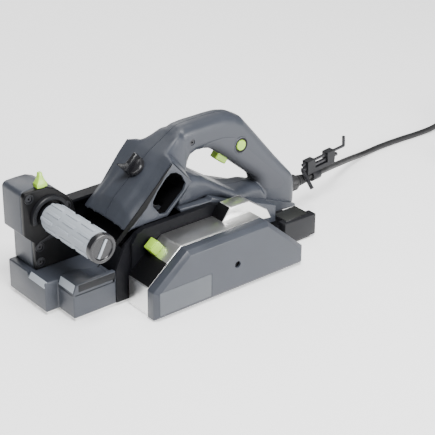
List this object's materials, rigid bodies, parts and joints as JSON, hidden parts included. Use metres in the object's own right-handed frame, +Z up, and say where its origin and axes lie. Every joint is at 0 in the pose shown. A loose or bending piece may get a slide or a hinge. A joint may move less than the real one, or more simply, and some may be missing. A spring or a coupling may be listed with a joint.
{
  "type": "electric hand planer",
  "caption": "Corded hand planer: D handle, turning front depth handle, side belt case, chip ports both sides, spring guard, plug-in mains lead coiled behind.",
  "frame": {"origin": "middle of the machine's footprint on the sole plane, mains lead left out", "axes": "+X from toe to heel, +Y to the machine's right, +Z up from the sole"},
  "size_m": [0.7566, 0.1649, 0.1575],
  "materials": {
    "blue_grey_plastic": "fine-textured anthracite moulding",
    "dark_plastic": "fine-textured near-black moulding",
    "black_casting": "black powder-coated casting",
    "bright_casting": "bright satin aluminium",
    "port_frame": "light grey moulding",
    "grip_grey": "grey grip with raised ribs",
    "soft_grip": "soft rubber insert",
    "green_plastic": "lime green moulding",
    "black_gloss": "glossy black moulding",
    "steel": "ground steel",
    "dark_steel": "blackened steel",
    "copper": "varnished copper windings",
    "rubber": "black rubber",
    "circuit": "potted circuit board",
    "plate_silver": "blank satin plate"
  },
  "bodies": {
    "body": {"base_frame": "black_casting", "rear_sole": "bright_casting", "sole_screws": "steel", "toe_housing": "blue_grey_plastic", "post_shell": "blue_grey_plastic", "post_cover": "dark_plastic", "post_screws": "dark_steel", "left_shell": "blue_grey_plastic", "right_shell": "blue_grey_plastic", "shell_screws": "dark_steel", "left_grip": "soft_grip", "right_grip": "soft_grip", "left_port_cover": "port_frame", "right_port_cover": "port_frame", "chip_duct": "dark_plastic", "rear_housing": "dark_plastic", "rating_plate": "plate_silver", "belt_housing": "bright_casting", "belt_cover": "blue_grey_plastic", "cover_screw": "dark_steel", "name_plate": "dark_plastic", "stator": "dark_steel", "brush_holder": "dark_plastic", "brushes": "dark_steel", "ball_bearings": "steel", "drive_belt": "rubber", "electronics": "circuit", "switch": "dark_plastic", "lead_socket": "black_gloss", "shoe_pin": "steel", "lead_connector": "rubber", "lead_tube": "rubber", "lead_coil": "rubber", "coil_tie": "soft_grip", "mains_plug": "rubber", "key_clip": "rubber", "hex_keys": "dark_steel"},
    "rotor": {"rotor": "copper", "motor_shaft": "steel", "fan": "dark_plastic", "motor_pulley": "steel"},
    "drum": {"cutter_drum": "bright_casting", "drum_shaft": "steel", "blade": "steel", "blade_screws": "dark_steel", "drum_pulley": "steel"},
    "front_sole": {"front_sole": "bright_casting", "lift_rod": "steel"},
    "front_handle": {"grip_core": "dark_plastic", "grip_sleeve": "grip_grey", "grip_cap": "black_gloss", "depth_spindle": "steel"},
    "depth_lock": {"depth_lock": "green_plastic"},
    "trigger": {"trigger": "green_plastic"},
    "lock_button": {"lock_button": "green_plastic"},
    "spindle_lock": {"spindle_lock": "green_plastic"},
    "selector": {"selector_knob": "black_gloss", "chip_deflector": "dark_plastic"},
    "drum_guard": {"drum_guard": "dark_plastic"},
    "parking_shoe": {"parking_shoe": "black_gloss"}
  },
  "joints": [
    {"name": "depth_turn", "type": "hinge", "parent": "body", "child": "front_handle", "pos_m": [-0.13875, -0.00315, 0.095], "axis": [0, -1, 0], "range_deg": [0, 280]},
    {"name": "sole_lift", "type": "slide", "parent": "body", "child": "front_sole", "axis": [0, 0, 1], "range_m": [0, 0.0035]},
    {"name": "depth_lock_slide", "type": "slide", "parent": "body", "child": "depth_lock", "axis": [0, 1, 0], "range_m": [0, 0.006]},
    {"name": "motor_spin", "type": "hinge", "parent": "body", "child": "rotor", "pos_m": [0.04125, 0.01685, 0.045], "axis": [0, 1, 0], "continuous": true},
    {"name": "drum_spin", "type": "hinge", "parent": "body", "child": "drum", "pos_m": [-0.06275, 0.01685, 0.027], "axis": [0, 1, 0], "continuous": true},
    {"name": "trigger_press", "type": "slide", "parent": "body", "child": "trigger", "axis": [0.6225, 0, 0.7826], "range_m": [0, 0.005], "stiffness_N_per_m": 500, "springref_m": -0.002},
    {"name": "lock_press", "type": "slide", "parent": "body", "child": "lock_button", "axis": [0, 1, 0], "range_m": [0, 0.003], "stiffness_N_per_m": 400, "springref_m": -0.001},
    {"name": "spindle_lock_press", "type": "slide", "parent": "body", "child": "spindle_lock", "axis": [0.628, 0, -0.7782], "range_m": [0, 0.003], "stiffness_N_per_m": 500, "springref_m": -0.001},
    {"name": "selector_turn", "type": "hinge", "parent": "body", "child": "selector", "pos_m": [-0.04075, 0.01885, 0.1226], "axis": [-0.6691, 0, 0.7431], "range_deg": [0, 180]},
    {"name": "guard_swing", "type": "hinge", "parent": "body", "child": "drum_guard", "pos_m": [-0.03075, 0.07285, 0.05], "axis": [0, 1, 0], "range_deg": [0, 70], "stiffness_Nm_per_rad": 0.02, "springref_deg": -28.65},
    {"name": "shoe_swing", "type": "hinge", "parent": "body", "child": "parking_shoe", "pos_m": [0.13025, -0.02915, 0.009], "axis": [0, 1, 0], "range_deg": [0, 25]}
  ],
  "couplings": [
    {"joint": "depth_turn", "follows": "sole_lift", "rad_per_m": 1396.2},
    {"joint": "drum_spin", "follows": "motor_spin", "ratio": 1.1538}
  ]
}
